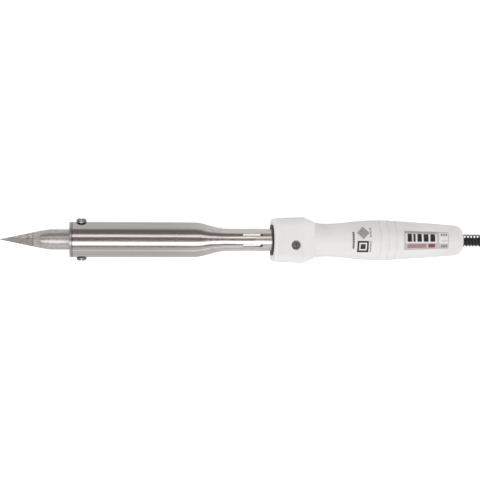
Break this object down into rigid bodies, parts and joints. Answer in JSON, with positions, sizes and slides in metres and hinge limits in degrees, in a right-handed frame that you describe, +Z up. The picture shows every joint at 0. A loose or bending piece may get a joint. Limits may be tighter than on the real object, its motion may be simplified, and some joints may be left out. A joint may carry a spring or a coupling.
{
  "type": "soldering iron",
  "caption": "Heavy mains soldering iron: slide-in bit held by clamp screws in a swaged steel barrel, vented neck, white waisted handle, spring cord guard and tied lead with a pin plug.",
  "frame": {"origin": "on the floor plane under the middle of the iron, from its point to the end of its cord guard", "axes": "+X along the iron from its point to its cord, +Z up"},
  "size_m": [0.6725, 0.045, 0.0353],
  "materials": {
    "plated_copper": "iron-plated copper, tinned bright at the point",
    "turned_steel": "turned steel, satin",
    "stainless": "brushed stainless, drawn lengthwise",
    "screw_steel": "zinc-plated steel",
    "mica": "mica",
    "heater_wire": "nickel-chromium wire, oxidised",
    "ceramic": "unglazed steatite",
    "black_phenolic": "black phenolic",
    "white_plastic": "white moulded plastic, semi-gloss",
    "dark_screw": "blackened steel",
    "brass_terminal": "brass",
    "core_insulation": "coloured insulation",
    "spring_steel": "dark spring wire",
    "label_foil": "printed foil",
    "cord_jacket": "black flexible jacket",
    "tie_strap": "hook-and-loop strap",
    "plug_rubber": "black moulded plug",
    "pin_brass": "plain brass"
  },
  "bodies": {
    "iron": {"nose_ring": "turned_steel", "barrel": "stainless", "tip_tube": "turned_steel", "mica_sleeve": "mica", "heater_winding": "heater_wire", "heater_wrap": "mica", "front_spacer": "ceramic", "rear_spacer": "ceramic", "heater_leads": "heater_wire", "lead_beads": "ceramic", "neck_bush": "black_phenolic", "neck_sleeve": "turned_steel", "handle": "white_plastic", "handle_screws": "dark_screw", "terminal_block": "ceramic", "terminals": "brass_terminal", "terminal_screws": "screw_steel", "clamp_base": "black_phenolic", "clamp_bar": "black_phenolic", "clamp_bar_screws": "screw_steel", "cord_end": "cord_jacket", "cord_cores": "core_insulation", "guard_spring": "spring_steel", "rating_label": "label_foil", "power_cord": "cord_jacket", "cord_hank": "cord_jacket", "cord_tail": "cord_jacket", "hank_tie": "tie_strap", "plug_relief": "plug_rubber", "plug_body": "plug_rubber", "plug_pins": "pin_brass"},
    "bit": {"tip": "plated_copper"},
    "left_washer": {"clamp_washer_left": "screw_steel"},
    "left_screw": {"clamp_screw_left": "screw_steel"},
    "right_washer": {"clamp_washer_right": "screw_steel"},
    "right_screw": {"clamp_screw_right": "screw_steel"}
  },
  "joints": [
    {"name": "bit_slide", "type": "slide", "parent": "iron", "child": "bit", "axis": [-1, 0, 0], "range_m": [0, 0.045]},
    {"name": "left_screw_travel", "type": "slide", "parent": "iron", "child": "left_washer", "axis": [0, 0.9781, 0.2079], "range_m": [0, 0.0035]},
    {"name": "left_screw_turn", "type": "hinge", "parent": "left_washer", "child": "left_screw", "pos_m": [-0.13625, 0.01296, 0.0204], "axis": [0, 0.9781, 0.2079], "range_deg": [0, 1800]},
    {"name": "right_screw_travel", "type": "slide", "parent": "iron", "child": "right_washer", "axis": [0, -0.9781, -0.2079], "range_m": [0, 0.0035]},
    {"name": "right_screw_turn", "type": "hinge", "parent": "right_washer", "child": "right_screw", "pos_m": [-0.13625, -0.01296, 0.0149], "axis": [0, -0.9781, -0.2079], "range_deg": [0, 1800]}
  ],
  "couplings": [
    {"joint": "left_screw_turn", "follows": "left_screw_travel", "rad_per_m": 8976},
    {"joint": "right_screw_turn", "follows": "right_screw_travel", "rad_per_m": 8976}
  ]
}
